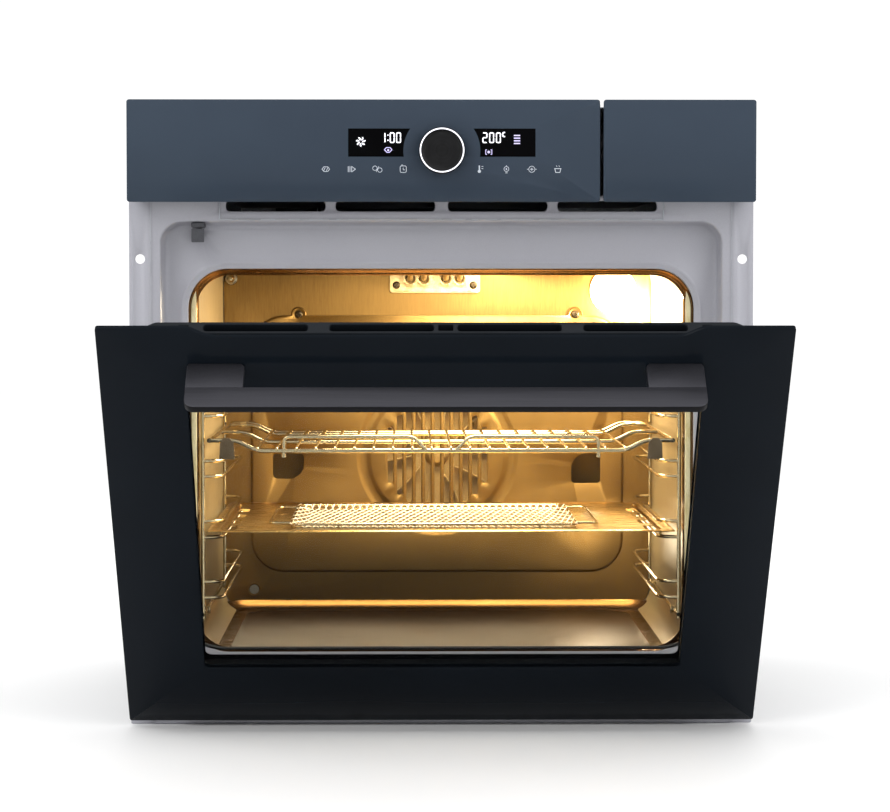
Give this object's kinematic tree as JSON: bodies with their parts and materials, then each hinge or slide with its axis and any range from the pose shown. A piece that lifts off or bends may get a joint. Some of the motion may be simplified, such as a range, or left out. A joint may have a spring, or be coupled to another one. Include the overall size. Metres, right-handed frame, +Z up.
{
  "type": "wall oven",
  "caption": "Built-in electric wall oven with a drop-down glass door, a glass control fascia with a turn knob, a water tank drawer, wire rack, tray and mesh basket.",
  "frame": {"origin": "centre of the underside of the case", "axes": "+X to the viewer's right, +Y into the oven, +Z up"},
  "size_m": [0.595, 0.8851, 0.595],
  "materials": {
    "base_pan": "galvanised",
    "side_panel_left": "galvanised",
    "side_panel_right": "galvanised",
    "top_cover": "galvanised",
    "rear_panel": "galvanised",
    "front_frame": "satin grey enamel",
    "cavity_wrap": "satin",
    "cavity_rear_wall": "satin",
    "insulation_blanket": "glass wool",
    "fan_cover": "satin",
    "cavity_screws": "dark",
    "convection_motor": "cast",
    "convection_fan": "satin",
    "ring_heater": "oxidised",
    "grill_element": "satin",
    "bottom_heater": "oxidised",
    "lamp_housing": "satin",
    "lamp_bulb": "lit",
    "lamp_glass": "clear",
    "side_rack_left": "bright",
    "side_rack_right": "bright",
    "hinge_receivers": "zinc",
    "hinge_arm_left": "zinc",
    "hinge_arm_right": "zinc",
    "hinge_springs": "oiled",
    "cooling_fan_housing": "galvanised",
    "cooling_motor": "cast",
    "cooling_rotor": "satin",
    "air_duct": "galvanised",
    "temperature_probe": "satin",
    "terminal_block": "moulded",
    "control_glass": "back-painted, slate blue",
    "control_carrier": "moulded",
    "control_board": "circuit board",
    "display_modules": "black",
    "light_ring": "lit",
    "knob_stem": "satin",
    "knob": "black anodised",
    "door_switch_housing": "moulded",
    "door_switch_lever": "moulded",
    "steam_boiler": "satin",
    "water_pump": "moulded",
    "water_hoses": "silicone",
    "tank_housing": "moulded",
    "water_tank": "clear",
    "tank_lid": "moulded",
    "tank_front": "back-painted, slate blue",
    "wire_rack": "bright",
    "perforated_tray": "polished",
    "mesh_basket": "wire mesh",
    "door_glass_outer": "clear, dark",
    "door_frit": "black enamel print",
    "door_glass_middle": "clear",
    "door_glass_inner": "clear",
    "door_gasket": "silicone",
    "door_frame": "black",
    "door_top_trim": "moulded",
    "handle_bar": "dark anodised",
    "handle_brackets": "dark anodised",
    "hinge_channels": "zinc"
  },
  "bodies": {
    "case": {"base_pan": "base_pan", "side_panel_left": "side_panel_left", "side_panel_right": "side_panel_right", "top_cover": "top_cover", "rear_panel": "rear_panel", "front_frame": "front_frame", "cavity_wrap": "cavity_wrap", "cavity_rear_wall": "cavity_rear_wall", "insulation_blanket": "insulation_blanket", "fan_cover": "fan_cover", "cavity_screws": "cavity_screws", "convection_motor": "convection_motor", "ring_heater": "ring_heater", "grill_element": "grill_element", "bottom_heater": "bottom_heater", "lamp_housing": "lamp_housing", "lamp_bulb": "lamp_bulb", "lamp_glass": "lamp_glass", "side_rack_left": "side_rack_left", "side_rack_right": "side_rack_right", "hinge_receivers": "hinge_receivers", "hinge_arm_left": "hinge_arm_left", "hinge_arm_right": "hinge_arm_right", "hinge_springs": "hinge_springs", "cooling_fan_housing": "cooling_fan_housing", "cooling_motor": "cooling_motor", "air_duct": "air_duct", "temperature_probe": "temperature_probe", "terminal_block": "terminal_block", "control_glass": "control_glass", "control_carrier": "control_carrier", "control_board": "control_board", "display_modules": "display_modules", "door_switch_housing": "door_switch_housing", "steam_boiler": "steam_boiler", "water_pump": "water_pump", "water_hoses": "water_hoses", "tank_housing": "tank_housing"},
    "door": {"door_glass_outer": "door_glass_outer", "door_frit": "door_frit", "door_glass_middle": "door_glass_middle", "door_glass_inner": "door_glass_inner", "door_gasket": "door_gasket", "door_frame": "door_frame", "door_top_trim": "door_top_trim", "handle_bar": "handle_bar", "handle_brackets": "handle_brackets", "hinge_channels": "hinge_channels"},
    "convection_fan": {"convection_fan": "convection_fan"},
    "cooling_rotor": {"cooling_rotor": "cooling_rotor"},
    "knob_stem": {"knob_stem": "knob_stem"},
    "knob": {"knob": "knob", "light_ring": "light_ring"},
    "switch_lever": {"door_switch_lever": "door_switch_lever"},
    "tank_drawer": {"water_tank": "water_tank", "tank_lid": "tank_lid", "tank_front": "tank_front"},
    "rack": {"wire_rack": "wire_rack"},
    "tray": {"perforated_tray": "perforated_tray"},
    "basket": {"mesh_basket": "mesh_basket"}
  },
  "joints": [
    {"name": "door_hinge", "type": "hinge", "parent": "case", "child": "door", "pos_m": [0, -0.2851, 0.0185], "axis": [1, 0, 0], "range_deg": [-38, 52], "stiffness_Nm_per_rad": 13, "springref_deg": -38},
    {"name": "tank_slide", "type": "slide", "parent": "case", "child": "tank_drawer", "axis": [0, -1, 0], "range_m": [0, 0.2]},
    {"name": "knob_press", "type": "slide", "parent": "case", "child": "knob_stem", "axis": [0, 1, 0], "range_m": [0, 0.0015], "stiffness_N_per_m": 900},
    {"name": "knob_turn", "type": "hinge", "parent": "knob_stem", "child": "knob", "pos_m": [0, -0.3001, 0.5467], "axis": [0, 1, 0], "continuous": true},
    {"name": "fan_spin", "type": "hinge", "parent": "case", "child": "convection_fan", "pos_m": [0, 0.1449, 0.234], "axis": [0, 1, 0], "continuous": true},
    {"name": "blower_spin", "type": "hinge", "parent": "case", "child": "cooling_rotor", "pos_m": [0, 0.1369, 0.522], "axis": [1, 0, 0], "continuous": true},
    {"name": "switch_press", "type": "hinge", "parent": "case", "child": "switch_lever", "pos_m": [-0.23225, -0.2721, 0.4738], "axis": [1, 0, 0], "range_deg": [0, 20], "stiffness_Nm_per_rad": 0.02},
    {"name": "rack_slide", "type": "slide", "parent": "case", "child": "rack", "axis": [0, -1, 0], "range_m": [0, 0.17]},
    {"name": "tray_slide", "type": "slide", "parent": "case", "child": "tray", "axis": [0, -1, 0], "range_m": [0, 0.115]},
    {"name": "basket_lift", "type": "slide", "parent": "tray", "child": "basket", "axis": [0, 0, 1], "range_m": [0, 0.05]}
  ]
}
